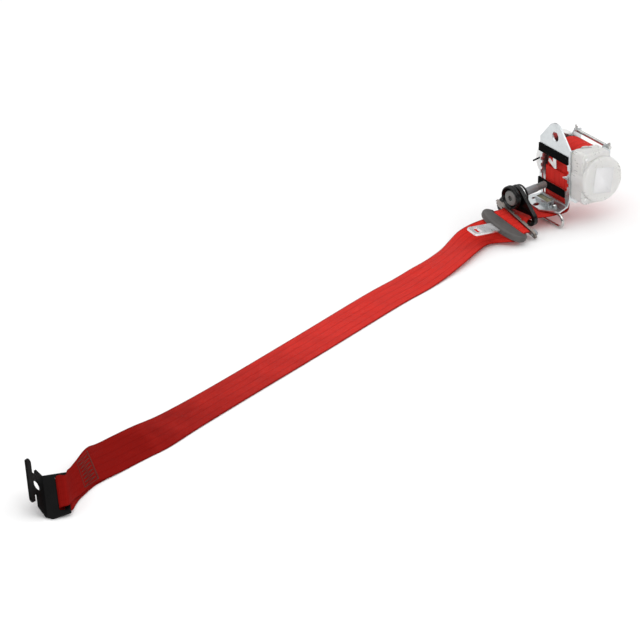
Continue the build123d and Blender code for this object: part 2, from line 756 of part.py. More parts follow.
# ---------------------------------------------------------------- lap webbing on the floor
slide_dir = unit(-0.938, -0.347, 0)
lap_start_x = 80.0
lap_start_y = 14.0
lap_turn_x = 257.0
lap_turn_y = 79.5
lap_far_x = 640.0
lap_far_y = 247.0
rise_run = 75.0
strap_start = Vector(-lap_start_x, -lap_start_y, 0)
strap_turn = Vector(-lap_turn_x, -lap_turn_y, 0)
strap_far = Vector(-lap_far_x, -lap_far_y, 0)
far_dir = (strap_far - strap_turn).normalized()
with BuildPart() as lap_strap:
    with BuildSketch(Plane.XY):
        with BuildLine() as lap:
            FilletPolyline(
                (strap_start.X, strap_start.Y),
                (strap_turn.X, strap_turn.Y),
                (strap_far.X, strap_far.Y),
                radius=1200,
            )
        trace(lap.edges(), line_width=webbing_width)
    extrude(amount=webbing_thickness)
keep(lap_strap.part, "lap_strap")

rise_start = tongue_centre + tongue_dir * slot_after - tongue_normal * 5.5
rise_end = Vector(rise_start.X, rise_start.Y, 0) + slide_dir * rise_run
rise_level = 1.5 * webbing_thickness + touch_gap
with BuildPart() as strap_rise:
    for fraction in (0.0, 0.35, 0.7, 1.0):
        eased = fraction * fraction * (3 - 2 * fraction)
        centre = rise_start * (1 - fraction) + rise_end * fraction
        height = rise_start.Z * (1 - eased) + rise_level * eased
        side_dir = tongue_side * (1 - eased) + unit(slide_dir.Y * -1, slide_dir.X, 0) * eased
        side_dir = side_dir.normalized()
        along = slide_dir - side_dir * slide_dir.dot(side_dir)
        with BuildSketch(Plane(origin=(centre.X, centre.Y, height), x_dir=side_dir, z_dir=along)):
            Rectangle(webbing_width, webbing_thickness)
    loft()
keep(strap_rise.part, "strap_rise")

# ---------------------------------------------------------------- end anchor and its webbing loop
anchor_along = unit(0.914, -0.403, 0.04)  # from the bend towards the webbing
anchor_up = unit(0.335, 0.808, 0.484)
anchor_up = (anchor_up - anchor_along * anchor_up.dot(anchor_along)).normalized()
anchor_normal = anchor_along.cross(anchor_up).normalized()
anchor_origin = Vector(-829.6, -332.0, 18.4)
anchor_plane = Plane(origin=anchor_origin, x_dir=anchor_along, z_dir=anchor_normal)
bend = math.radians(52)
hook_along = (anchor_along * math.cos(bend) - anchor_normal * math.sin(bend)).normalized()
hook_normal = hook_along.cross(anchor_up).normalized()
hook_plane = Plane(origin=anchor_origin, x_dir=hook_along, z_dir=hook_normal)
loop_width = 38.0
loop_centre_y = -8.0
bar_x = 21.2
bar_half = 2.7
tube_inner = 3.4
with BuildPart() as end_anchor:
    with BuildSketch(anchor_plane.offset(-anchor_thickness / 2)):
        with BuildLine():
            Polyline(
                (0, 14),
                (bar_x + bar_half, 15.5),
                (bar_x + bar_half, -28.0 - 3.0),
                (17, -33.0),
                (6, -36.0),
                (0, -anchor_low),
                close=True,
            )
        make_face()
        with Locations((bar_x - bar_half - 2.9, loop_centre_y)):
            RectangleRounded(5.8, loop_width + 2.0, 1.5, mode=Mode.SUBTRACT)
    extrude(amount=anchor_thickness)
    with BuildSketch(hook_plane.offset(-anchor_thickness / 2)):
        with BuildLine():
            Polyline(
                (0, 14),
                (-10, 17),
                (-10.5, 10.5),
                (-17, 10.5),
                (-17, -12.5),
                (-11, -12.5),
                (-11, -26),
                (0, -anchor_low),
                close=True,
            )
        make_face()
        with Locations((-20.0, 0)):
            RectangleRounded(7.0, anchor_bar_length, 3.4)
        with Locations((-10.5, -1.5)):
            Circle(anchor_hole_radius, mode=Mode.SUBTRACT)
    extrude(amount=anchor_thickness)
    bend_plane = Plane(
        origin=anchor_origin + anchor_up * 14, x_dir=anchor_along, z_dir=anchor_up * -1
    )
    with BuildSketch(bend_plane):
        Circle(anchor_thickness / 2)
    extrude(amount=47.5)
keep(end_anchor.part, "end_anchor")

bar_plane = Plane(
    origin=anchor_origin + anchor_along * bar_x + anchor_up * loop_centre_y,
    x_dir=anchor_along,
    z_dir=anchor_up,
)
with BuildPart() as end_loop:
    with BuildSketch(bar_plane):
        Circle(tube_inner + webbing_thickness)
        Circle(tube_inner, mode=Mode.SUBTRACT)
    extrude(amount=loop_width / 2, both=True)
keep(end_loop.part, "end_loop")

end_start = bar_plane.origin + anchor_along * (tube_inner + webbing_thickness + seat_gap)
end_stop = strap_far + far_dir * seat_gap + Vector(0, 0, webbing_thickness / 2)
far_side = unit(-far_dir.Y, far_dir.X, 0)
with BuildPart() as strap_end:
    reach = (end_stop - end_start).length / 3
    knots = (
        end_start,
        end_start + anchor_along * reach * 0.6,
        end_stop + far_dir * reach,
        end_stop,
    )
    for step in range(9):
        u = step / 8
        weights = ((1 - u) ** 3, 3 * u * (1 - u) ** 2, 3 * u * u * (1 - u), u**3)
        slopes = (-((1 - u) ** 2), (1 - u) * (1 - 3 * u), u * (2 - 3 * u), u * u)
        centre = Vector(0, 0, 0)
        along = Vector(0, 0, 0)
        for knot, weight, slope in zip(knots, weights, slopes):
            centre += knot * weight
            along += knot * slope
        side_dir = anchor_up * (1 - u) + far_side * -u
        side_dir = (side_dir - along * (side_dir.dot(along) / along.dot(along))).normalized()
        width = loop_width * (1 - u) + webbing_width * u
        layers = 2 if u < 0.5 else 2 - (u - 0.5) * 2
        # The strap is lifted where its twist would press an edge through the floor.
        reach_down = (width * abs(side_dir.Z) + webbing_thickness * layers) / 2
        if step < 8:
            centre.Z = max(centre.Z, reach_down + seat_gap)
        with BuildSketch(Plane(origin=centre, x_dir=side_dir, z_dir=along)):
            Rectangle(width, webbing_thickness * layers)
    loft(ruled=True)
keep(strap_end.part, "strap_end")

# ---------------------------------------------------------------- tab in the frame's window
with BuildPart() as window_tab:
    with BuildSketch(Plane.YZ.offset(sheet / 2)):
        with BuildLine():
            top = frame_lift + window_high
            Polyline(
                (-2.5, top - seat_gap),
                (3.5, top - seat_gap),
                (3.5, top - 7.0),
                (11.0, top - 3.0),
                (12.0, top - 6.5),
                (0.0, top - 12.0),
                (-3.5, top - 11.0),
                close=True,
            )
        make_face()
    extrude(amount=-1.2)
keep(window_tab.part, "window_tab")

# ---------------------------------------------------------------- write every piece about the footprint's middle
whole = Compound(children=[Compound(p.solids()) for p in pieces]).bounding_box()
shift = Location((-(whole.min.X + whole.max.X) / 2, -(whole.min.Y + whole.max.Y) / 2, 0))
for piece in pieces:
    placed = piece.moved(shift)
    placed.label = piece.label
    export_step(placed, f"parts/{piece.label}.step")
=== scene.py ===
import math

import bmesh
import bpy
from mathutils import Matrix, Vector


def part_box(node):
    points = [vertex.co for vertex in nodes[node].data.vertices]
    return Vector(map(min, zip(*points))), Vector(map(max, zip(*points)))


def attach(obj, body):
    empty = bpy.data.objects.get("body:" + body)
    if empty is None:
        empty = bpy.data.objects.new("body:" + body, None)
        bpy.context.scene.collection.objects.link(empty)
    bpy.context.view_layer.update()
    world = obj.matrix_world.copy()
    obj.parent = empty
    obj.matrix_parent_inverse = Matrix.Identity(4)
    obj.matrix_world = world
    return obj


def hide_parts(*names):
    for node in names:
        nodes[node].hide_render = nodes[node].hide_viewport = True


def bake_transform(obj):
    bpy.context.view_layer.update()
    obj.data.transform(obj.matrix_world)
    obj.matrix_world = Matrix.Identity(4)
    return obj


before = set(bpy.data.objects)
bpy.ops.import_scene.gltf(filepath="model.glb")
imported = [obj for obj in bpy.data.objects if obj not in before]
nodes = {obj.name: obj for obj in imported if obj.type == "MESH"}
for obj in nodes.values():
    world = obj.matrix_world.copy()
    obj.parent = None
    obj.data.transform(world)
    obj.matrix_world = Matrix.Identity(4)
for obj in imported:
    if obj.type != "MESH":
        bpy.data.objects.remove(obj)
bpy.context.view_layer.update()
scene = bpy.context.scene

# The layout is in millimetres. X = 0 is the outer face of the retractor's back plate, Y = 0 its
# centre and Z = 0 the floor. The spool's box says where that place lies in the row frame.
MM = 0.001
webbing_width = 47.0
webbing_thickness = 1.3
touch_gap = 0.3
roll_radius = 28.5
spool_at = Vector((34.0, 0, 56.0))
spool_low, spool_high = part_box("spool")
ORIGIN = Vector(((spool_low.x + spool_high.x) / 2 - spool_at.x * MM, (spool_low.y + spool_high.y) / 2, 0))


def place(v):
    """A place in the row frame, in metres, from the layout's millimetres."""
    return ORIGIN + v * MM


# ---------------------------------------------------------------- material helpers
class Graph:
    """Small helper that adds linked nodes to a material."""

    def __init__(self, name):
        self.material = bpy.data.materials.new(name)
        self.material.use_nodes = True
        self.tree = self.material.node_tree
        self.tree.nodes.clear()
        self.out = self.tree.nodes.new("ShaderNodeOutputMaterial")
        self.shader = self.tree.nodes.new("ShaderNodeBsdfPrincipled")
        self.tree.links.new(self.shader.outputs[0], self.out.inputs[0])
        self.coords = self.tree.nodes.new("ShaderNodeTexCoord")

    def link(self, a, b):
        self.tree.links.new(a, b)

    def set(self, socket, value):
        if hasattr(value, "is_output"):
            self.link(value, socket)
        elif isinstance(value, tuple) and len(value) == 3 and len(socket.default_value) == 4:
            socket.default_value = (*value, 1)
        else:
            socket.default_value = value

    def node(self, kind, **inputs):
        made = self.tree.nodes.new(kind)
        for key, value in inputs.items():
            self.set(made.inputs[key.replace("_", " ")], value)
        return made

    def math(self, operation, a, b=0.0):
        made = self.tree.nodes.new("ShaderNodeMath")
        made.operation = operation
        self.set(made.inputs[0], a)
        self.set(made.inputs[1], b)
        return made.outputs[0]

    def noise(self, scale, detail=4.0, roughness=0.55, vector=None, stretch=None):
        source = vector or self.coords.outputs["Object"]
        if stretch:
            mapping = self.tree.nodes.new("ShaderNodeMapping")
            self.link(source, mapping.inputs["Vector"])
            mapping.inputs["Scale"].default_value = stretch
            source = mapping.outputs[0]
        made = self.node("ShaderNodeTexNoise", Scale=scale, Detail=detail, Roughness=roughness)
        self.link(source, made.inputs["Vector"])
        return made.outputs["Fac"]

    def ramp(self, factor, stops):
        made = self.tree.nodes.new("ShaderNodeValToRGB")
        band = made.color_ramp
        while len(band.elements) < len(stops):
            band.elements.new(0.5)
        for element, (position, colour) in zip(band.elements, stops):
            element.position = position
            element.color = (*colour, 1)
        self.link(factor, made.inputs[0])
        return made.outputs[0]

    def grey(self, factor, low, high, start=0.3, stop=0.7):
        """A value that runs from low to high while the factor runs from start to stop."""
        made = self.node(
            "ShaderNodeMapRange", From_Min=start, From_Max=stop, To_Min=low, To_Max=high
        )
        self.link(factor, made.inputs["Value"])
        return made.outputs[0]

    def mix(self, factor, a, b):
        made = self.tree.nodes.new("ShaderNodeMix")
        made.data_type = "RGBA"
        self.set(made.inputs[0], factor)
        self.set(made.inputs[6], a)
        self.set(made.inputs[7], b)
        return made.outputs[2]

    def bump(self, height, strength, distance, normal=None):
        made = self.node("ShaderNodeBump", Strength=strength, Distance=distance)
        self.link(height, made.inputs["Height"])
        if normal is not None:
            self.link(normal, made.inputs["Normal"])
        return made.outputs[0]

    def bevel(self, radius):
        made = self.node("ShaderNodeBevel", Radius=radius)
        made.samples = 4
        return made.outputs[0]

    def use(self, **inputs):
        for key, value in inputs.items():
            self.set(self.shader.inputs[key.replace("_", " ")], value)
        return self.material


def plated(name, dark, light, rough=0.25, metal=1.0, brush=(1, 1, 1), grime=0.25, relief=0.25):
    """Plated or bare steel with brushed grain, clouding, fine scratches and soft edges."""
    g = Graph(name)
    cloud = g.noise(55, 5, 0.6)
    grain = g.noise(900, 3, 0.6, stretch=brush)
    pits = g.noise(2600, 2, 0.5)
    middle = tuple((a + b) / 2 for a, b in zip(dark, light))
    colour = g.ramp(cloud, [(0.3, dark), (0.5, middle), (0.7, light)])
    stain = g.noise(140, 6, 0.7)
    colour = g.mix(g.grey(stain, 0.0, grime, 0.52, 0.72), colour, tuple(v * 0.35 for v in dark))
    surface = g.math("ADD", grain, g.math("MULTIPLY", pits, 0.5))
    g.use(
        Base_Color=colour,
        Metallic=metal,
        Roughness=g.math("ADD", g.grey(cloud, rough * 0.7, rough * 1.25), g.grey(grain, -0.05, 0.1)),
        Normal=g.bump(surface, relief, 0.0001, g.bevel(0.0004)),
    )
    return g.material


def moulded(
    name, colour, rough=0.45, grain=1500.0, depth=0.00008, shift=0.12, edge=0.0005, spec=0.4, wear=0.05
):
    """Moulded plastic or rubber: grained, slightly mottled, scuffed lighter in streaky patches."""
    g = Graph(name)
    mottle = g.noise(70, 4, 0.6)
    fine = g.noise(grain, 2, 0.5)
    scuff = g.noise(320, 6, 0.75, stretch=(1, 0.25, 1))
    darker = tuple(v * (1 - shift) for v in colour)
    lighter = tuple(min(1, v * (1 + shift) + wear / 5) for v in colour)
    tint = g.ramp(mottle, [(0.3, darker), (0.7, lighter)])
    worn = tuple(min(1, v * 1.25 + wear) for v in colour)
    tint = g.mix(g.grey(scuff, 0, 0.35, 0.6, 0.75), tint, worn)
    g.use(
        Base_Color=tint,
        Roughness=g.math("ADD", g.grey(mottle, rough * 0.88, rough * 1.1), g.grey(scuff, -0.04, 0.1)),
        Normal=g.bump(fine, 0.4, depth, g.bevel(edge)),
        Specular_IOR_Level=spec,
    )
    return g.material


def webbing_material(name, deep, mid, bright):
    """Woven belt webbing on a strap whose UV is its own metres: u across, v along."""
    g = Graph(name)
    split = g.node("ShaderNodeSeparateXYZ")
    g.link(g.coords.outputs["UV"], split.inputs[0])
    u, v = split.outputs[0], split.outputs[1]
    rib_pitch = 0.00147
    float_length = 0.0021
    panel_width = 0.0094
    half_width = webbing_width / 2 * MM
    rib = g.math("DIVIDE", u, rib_pitch)
    which = g.math("FLOOR", rib)
    inside = g.math("SUBTRACT", rib, which)
    crown = g.math("SINE", g.math("MULTIPLY", inside, math.pi))
    # Each rib is a row of slanting floats; neighbours slant the other way.
    parity = g.math("SUBTRACT", g.math("MULTIPLY", g.math("MODULO", which, 2.0), 2.0), 1.0)
    slant = g.math("MULTIPLY", g.math("MULTIPLY", inside, 0.55), parity)
    stagger = g.math("ADD", slant, g.math("MULTIPLY", which, 0.5))
    along = g.math("ADD", g.math("DIVIDE", v, float_length), stagger)
    float_ = g.math("ABSOLUTE", g.math("SINE", g.math("MULTIPLY", along, math.pi)))
    yarn = g.math("MULTIPLY", g.math("POWER", crown, 0.6), g.math("POWER", float_, 0.5))
    # Five wide panels across the width, with a slack groove between them.
    across = g.math("MULTIPLY", g.math("DIVIDE", u, panel_width), math.pi)
    panel = g.math("ABSOLUTE", g.math("SINE", across))
    groove = g.math("MINIMUM", g.math("MULTIPLY", panel, 3.5), 1.0)
    cloud = g.noise(26, 5, 0.6)
    fleck = g.noise(1900, 3, 0.7)
    lengthwise = g.noise(30, 4, 0.65, vector=g.coords.outputs["UV"], stretch=(34, 1.1, 1))
    # Painted shade: the tone is lighter on yarn crowns and darker in the gaps between yarns and in the
    # grooves between panels.
    tone = g.math(
        "ADD",
        g.math("MULTIPLY", yarn, 0.42),
        g.math("ADD", g.math("MULTIPLY", cloud, 0.22), g.math("MULTIPLY", lengthwise, 0.36)),
    )
    tone = g.math("MULTIPLY", tone, g.math("ADD", 0.68, g.math("MULTIPLY", groove, 0.32)))
    colour = g.ramp(tone, [(0.18, deep), (0.5, mid), (0.82, bright)])
    # Painted shade: the belt is painted darker towards the floor anchor, and its sheen, specular and lint
    # are turned down there too.
    place_of = g.node("ShaderNodeSeparateXYZ")
    g.link(g.coords.outputs["Object"], place_of.inputs[0])
    anchor_shade = g.math("ADD", place_of.outputs[0], g.math("MULTIPLY", g.math("SUBTRACT", cloud, 0.5), 0.16))
    colour = g.mix(g.grey(anchor_shade, 0.82, 0.0, -0.30, 0.02), colour, tuple(c * 0.5 for c in deep))
    # Share of the belt outside the painted shade; it scales the lint, sheen and specular.
    out_of_shade = g.grey(anchor_shade, 0.12, 1.0, -0.30, 0.02)
    # Painted shade: the colour is darkened along both rolled selvedges.
    middle = g.math("ABSOLUTE", g.math("SUBTRACT", u, half_width))
    edge = g.grey(middle, 0.0, 0.75, 0.0214, 0.0233)
    colour = g.mix(edge, colour, tuple(c * 0.62 for c in deep))
    patches = g.math("MULTIPLY", g.grey(cloud, 0.2, 1.0), out_of_shade)
    lint = g.math("MULTIPLY", g.grey(fleck, 0, 0.35, 0.62, 0.8), patches)
    colour = g.mix(lint, colour, tuple(min(1, c * 1.1 + 0.1) for c in bright))
    height = g.math("ADD", yarn, g.math("MULTIPLY", groove, 0.8))
    height = g.math("ADD", height, g.math("MULTIPLY", fleck, 0.25))
    g.use(
        Base_Color=colour,
        Roughness=g.grey(cloud, 0.5, 0.68),
        Sheen_Weight=g.math("MULTIPLY", out_of_shade, 0.06),
        Sheen_Roughness=0.4,
        Sheen_Tint=(1.0, 0.25, 0.2),
        Specular_IOR_Level=g.math("MULTIPLY", out_of_shade, 0.08),
        Normal=g.bump(height, 0.75, 0.00036),
    )
    return g.material


RED = webbing_material("webbing_red", (0.27, 0.006, 0.005), (0.60, 0.018, 0.012), (0.86, 0.045, 0.032))

steel_frame = plated(
    "frame_plate", (0.56, 0.59, 0.60), (0.70, 0.73, 0.74), 0.3, brush=(1, 6, 1), grime=0.05, relief=0.1
)
steel_rod = plated("rod_plate", (0.45, 0.45, 0.44), (0.75, 0.75, 0.73), 0.22, grime=0.35)
steel_lock = plated("lock_plate", (0.35, 0.35, 0.37), (0.6, 0.6, 0.62), 0.3)
steel_bar = plated(
    "bar_plate", (0.12, 0.102, 0.092), (0.30, 0.265, 0.24), 0.32, brush=(5, 1, 1), grime=0.5
)
steel_sleeve = plated(
    "sleeve_plate", (0.24, 0.25, 0.26), (0.38, 0.39, 0.40), 0.46, brush=(1, 8, 8), grime=0.2
)
steel_bolt = plated("bolt_plate", (0.13, 0.13, 0.125), (0.24, 0.24, 0.23), 0.5, metal=0.6, grime=0.4)
steel_latch = plated(
    "latch_plate_bright",
    (0.80, 0.79, 0.80),
    (0.90, 0.89, 0.90),
    0.3,
    brush=(1, 7, 1),
    grime=0.02,
    relief=0.04,
)
chrome = plated("washer_chrome", (0.6, 0.6, 0.6), (0.85, 0.85, 0.85), 0.1, grime=0.1)
spring_blue = plated("spring_blue", (0.1, 0.12, 0.16), (0.3, 0.33, 0.38), 0.3)
black = (0.003, 0.003, 0.003)
deep_black = (0.002, 0.002, 0.002)
paint_black = moulded("anchor_black", black, 0.3, 700, 0.0001, 0.3, 0.0008, spec=0.06, wear=0.003)
tape_black = moulded("tape_black", deep_black, 0.85, 2600, 0.00015, 0.3, 0.0004, spec=0.05, wear=0.003)
plastic_black = moulded("loop_black", deep_black, 0.15, 1300, 0.00005, 0.25, spec=0.26, wear=0.004)
rubber_black = moulded("boot_rubber", deep_black, 0.15, 1100, 0.00006, 0.25, 0.0009, spec=0.28, wear=0.004)
plastic_tongue = moulded("tongue_grey", (0.072, 0.066, 0.063), 0.46, 1500, 0.00012, 0.18, 0.0008)
plastic_grey = moulded("grey_plastic", (0.3, 0.31, 0.33), 0.45)
plastic_white = moulded("white_plastic", (0.78, 0.78, 0.75), 0.4)
plastic_spool = moulded("spool_plastic", (0.7, 0.69, 0.64), 0.45)
plastic_insert = moulded("insert_plastic", (0.36, 0.34, 0.22), 0.5)
plastic_pale = moulded("cover_pale", (0.8, 0.8, 0.79), 0.4, 900, 0.00005, 0.05)


def milky():
    """Translucent moulding: light gets in, shapes inside only glow through."""
    g = Graph("cover_milky")
    cloud = g.noise(60, 4, 0.6)
    scratch = g.noise(500, 5, 0.7, stretch=(1, 0.15, 1.8))
    g.use(
        Base_Color=g.ramp(cloud, [(0.3, (0.93, 0.92, 0.895)), (0.7, (0.985, 0.98, 0.965))]),
        Roughness=g.math("ADD", g.grey(cloud, 0.2, 0.32), g.grey(scratch, 0.0, 0.15)),
        Transmission_Weight=0.42,
        IOR=1.42,
        Subsurface_Weight=0.25,
        Subsurface_Radius=(0.004, 0.004, 0.0045),
        Subsurface_Scale=1.0,
        Normal=g.bump(scratch, 0.2, 0.0001, g.bevel(0.0012)),
    )
    return g.material


cover_milky = milky()
label_paper = moulded("label_paper", (0.72, 0.715, 0.72), 0.5, 500, 0.00002, 0.02, 0.0001)

dress = {
    "frame": steel_frame,
    "tape_upper": tape_black,
    "tape_lower": tape_black,
    "tie_bar": steel_rod,
    "spool": plastic_spool,
    "torsion_bar": steel_rod,
    "bush_right": plastic_white,
    "bush_left": plastic_white,
    "ratchet_wheel": steel_lock,
    "inertia_disc": steel_lock,
    "pawl_pin": steel_lock,
    "lock_pawl": steel_lock,
    "lever_pin": steel_lock,
    "sensor_housing": plastic_white,
    "sensor_ball": chrome,
    "sensor_lever": plastic_white,
    "sensor_cover": cover_milky,
    "spring_cover": plastic_pale,
    "spring_arbor": plastic_white,
    "return_spring": spring_blue,
    "cover_rivets": plastic_pale,
    "guide_pocket": steel_frame,
    "pocket_insert": plastic_insert,
    "foot_rivet": steel_rod,
    "guide_hoop": steel_rod,
    "pillar_loop": plastic_black,
    "anchor_bolt": steel_bolt,
    "chrome_washer": chrome,
    "rubber_washer": rubber_black,
    "spacer_sleeve": steel_sleeve,
    "guide_bar": steel_bar,
    "guide_nut": plastic_grey,
    "tongue_cover": plastic_tongue,
    "latch_plate": steel_latch,
    "end_anchor": paint_black,
    "window_tab": steel_rod,
}
for name, material in dress.items():
    mesh = nodes[name].data
    mesh.materials.clear()
    mesh.materials.append(material)


# ---------------------------------------------------------------- mesh helpers
def add_mesh(name, vertices, faces, material, uvs=None):
    mesh = bpy.data.meshes.new(name)
    mesh.from_pydata([tuple(v) for v in vertices], [], faces)
    mesh.materials.append(material)
    if uvs is not None:
        layer = mesh.uv_layers.new(name="UVMap")
        for loop in mesh.loops:
            layer.data[loop.index].uv = uvs[loop.vertex_index]
    mesh.polygons.foreach_set("use_smooth", [True] * len(mesh.polygons))
    mesh.update()
    obj = bpy.data.objects.new(name, mesh)
    scene.collection.objects.link(obj)
    return obj


def face_outward(obj):
    """Turn every face's normal out of the closed mesh."""
    shell = bmesh.new()
    shell.from_mesh(obj.data)
    bmesh.ops.recalc_face_normals(shell, faces=shell.faces)
    shell.to_mesh(obj.data)
    shell.free()


def tube_faces(rings, sides, first=0):
    """Faces of a closed tube whose vertices lie in rings from the first on, with a cap at each end."""
    faces = []
    last = first + (rings - 1) * sides
    for ring in range(first, last, sides):
        for k in range(sides):
            a = ring + k
            b = ring + (k + 1) % sides
            faces.append((a, b, b + sides, a + sides))
    faces.append(tuple(range(first + sides - 1, first - 1, -1)))
    faces.append(tuple(range(last, last + sides)))
    return faces


def smooth_path(points, per_span):
    """Catmull-Rom through points of any dimension held as tuples."""
    out = []
    ends = [points[0], *points, points[-1]]
    for i in range(len(points) - 1):
        p = [Vector(q) for q in ends[i : i + 4]]
        for k in range(per_span):
            t = k / per_span
            out.append(
                0.5
                * (
                    2 * p[1]
                    + (p[2] - p[0]) * t
                    + (2 * p[0] - 5 * p[1] + 4 * p[2] - p[3]) * t**2
                    + (3 * p[1] - p[0] - 3 * p[2] + p[3]) * t**3
                )
            )
    out.append(Vector(points[-1]))
    return out


def stations_through(points, per_span):
    """Stations (centre, side, width) in metres on the smooth path through a strap's points."""
    stations = []
    for p in smooth_path(points, per_span):
        stations.append((place(Vector(p[0:3])), Vector(p[3:6]).normalized(), p[6] * MM))
    return stations


def strap(name, stations, across=26):
    """Closed ribbon of webbing through stations; its UV is its own metres. Gives its length too."""
    ring = [(k / across - 0.5, 1) for k in range(across + 1)]
    ring += [(k / across - 0.5, -1) for k in range(across, -1, -1)]
    rolled_from, rolled_share = 0.47, 0.03
    vertices, uvs = [], []
    travelled = 0.0
    for i, (centre, side, width) in enumerate(stations):
        before = stations[max(i - 1, 0)][0]
        after = stations[min(i + 1, len(stations) - 1)][0]
        if i:
            travelled += (centre - before).length
        along = (after - before).normalized()
        up = along.cross(side).normalized()
        for u, face in ring:
            # The selvedges are rolled: thinner at the very edge.
            rim = max(0.0, abs(u) - rolled_from) / rolled_share
            half = webbing_thickness * MM / 2 * math.sqrt(max(0.05, 1 - rim * rim))
            vertices.append(centre + side * (u * width) + up * (half * face))
            uvs.append(((u + 0.5) * webbing_width * MM, travelled))
    obj = add_mesh(name, vertices, tube_faces(len(stations), len(ring)), RED, uvs)
    face_outward(obj)
    return obj, travelled


# ---------------------------------------------------------------- shared directions, as in the frame
# T, L, N: out of the tongue towards its latch, along its slot, out of its upper face.
T = Vector((-0.93, -0.32, 0.20)).normalized()
L = Vector((0.251, -0.919, -0.303)).normalized()
N = T.cross(L).normalized()
L = N.cross(T).normalized()
tongue_at = Vector((-77.6, -21.0, 15.6))
# A, U, AN: from the floor anchor's bend towards the webbing, along its bar, out of its plate.
A = Vector((0.914, -0.403, 0.04)).normalized()
U = Vector((0.335, 0.808, 0.484)).normalized()
U = (U - A * U.dot(A)).normalized()
AN = A.cross(U).normalized()
anchor_at = Vector((-829.6, -332.0, 18.4))
bar_at = anchor_at + A * 21.2 - U * 8.0

# ---------------------------------------------------------------- lap webbing: tongue to end anchor
rise_from = tongue_at + T * 14.3 - N * 5.5
lap_per_span = 14
lap_points = [
    # centre x, y, z, side x, y, z, width
    (*rise_from, *(-L), webbing_width),
    (-102, -16, 9.0, -0.34, 0.90, 0.22, 46),
    (-112, -11, 5.0, -0.40, 0.91, 0.08, 46),
    (-125, -15, 3.2, -0.45, 0.89, -0.05, 45),
    (-146, -29, 3.4, -0.45, 0.89, -0.11, 44),
    (-167, -41.5, 3.2, -0.38, 0.92, -0.10, 45),
    (-186, -51, 2.4, -0.34, 0.94, -0.07, 46),
    (-209, -61, 1.3, -0.34, 0.94, -0.02, 47),
    (-239, -74, 0.7, -0.36, 0.93, 0, 47),
    (-292, -95, 0.7, -0.40, 0.92, 0, 47),
    (-420, -152, 0.7, -0.40, 0.92, 0, 47),
    (-544, -206, 0.9, -0.40, 0.92, 0, 47),
    (-625, -242, 2.5, -0.41, 0.91, 0.07, 47),
    (-671, -264, 5.8, -0.37, 0.90, 0.22, 47),
    (-698, -273, 6.0, -0.32, 0.92, 0.23, 47),
    (-726, -283, 6.4, -0.25, 0.93, 0.24, 47),
]
# The belt creases where its sewn end begins.
crease = len(lap_points)
lap_points += [
    (-758.5, -298.5, 10.4, 0.21, 0.91, 0.35, 46),
    (-776.5, -311.5, 10.4, 0.25, 0.91, 0.34, 42.5),
    (-789.5, -322.5, 11.4, 0.24, 0.90, 0.36, 39),
    (-799, -331.5, 14.4, 0.27, 0.87, 0.41, 37),
    (*(bar_at + A * 1.2 + AN * 4.1 + U * 0.8), *U, 35.5),
]
# Round the bar and through the slot, slack enough to fill it.
for along, out in ((-4.4, 4.1), (-7.4, 2.3), (-7.7, 0.0), (-7.4, -2.3), (-4.4, -4.0), (3.5, -3.9)):
    lap_points.append((*(bar_at + A * along + AN * out + U * 0.5), *U, 37.5))
# The end lies doubled under the belt and shows as a lip along its lower edge.
lap_points += [
    (-799, -334, 9.6, 0.29, 0.86, 0.42, 38),
    (-791, -324, 8.6, 0.25, 0.90, 0.36, 40),
    (-778, -313, 8.2, 0.25, 0.91, 0.33, 43),
    (-769, -306, 8.6, 0.25, 0.91, 0.34, 45),
    (-758, -299, 8.8, 0.20, 0.91, 0.35, 45),
    (-741, -291, 7.2, 0.0, 0.95, 0.30, 43),
]
lap_stations = stations_through(lap_points, lap_per_span)
belt_lap, lap_length = strap("belt_lap", lap_stations)
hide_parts("lap_strap", "strap_rise", "strap_end", "end_loop")

# ---------------------------------------------------------------- webbing through the tongue
# Places along and above the tongue's plate, from its upper face through the slot to its lower one.
tongue_route = (
    (-12.7, 3.6),
    (-8, 3.6),
    (-4.6, 3.5),
    (-2.6, 2.4),
    (-1.6, -1.0),
    (-0.6, -4.2),
    (1.6, -5.4),
    (7, -5.5),
    (14.2, -5.5),
)
through = [(*(tongue_at + T * along + N * above), *(-L), webbing_width) for along, above in tongue_route]
belt_tongue, tongue_run = strap("belt_tongue", stations_through(through, 8))
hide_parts("webbing_tongue")
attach(belt_tongue, "tongue")

# ---------------------------------------------------------------- webbing from the reel to the tongue
guide_along = Vector((4.0, -72.0, -18.0)).normalized()
guide_across = Vector((0.92, 0.08, 0.38))
guide_across = (guide_across - guide_along * guide_across.dot(guide_along)).normalized()
guide_at = Vector((-57.6, -8.6, 13.6))
bolt_head = Vector((-58.2, 1.8, 35.2))
bolt_dir = Vector((0.988, 0.139, 0.065)).normalized()
loop_offset = 10.0
loop_drop = Vector((-0.064, -0.003, 0.998)) * 20.3
loop_slot = bolt_head + bolt_dir * loop_offset - loop_drop
feed_x = spool_at.x - roll_radius - touch_gap - webbing_thickness / 2
mid = [
    (feed_x, 0, spool_at.z, 0, 1, 0, webbing_width),
    (feed_x, 0, 38.0, 0, 1, 0, webbing_width),
    (feed_x, 0, 22.0, 0, 1, 0, webbing_width),
    (feed_x - 1.2, 0, 16.9, 0, 1, 0, webbing_width),
    (feed_x - 4.6, 0, 14.35, 0, 1, 0, webbing_width),
    (-10, 0, 14.2, 0, 1, 0, webbing_width),
    (-24, 0, 14.4, 0, 1, 0, webbing_width),
    (*loop_slot, 0.05, 1, 0.03, webbing_width),
    (*(guide_at + guide_across * 1.1), *(-guide_along), webbing_width),
    (*(tongue_at - T * 12.8 + N * 3.6), *(-L), webbing_width),
]
belt_mid, mid_length = strap("belt_mid", stations_through(mid, 10))
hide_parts("webbing_feed", "webbing_mid")


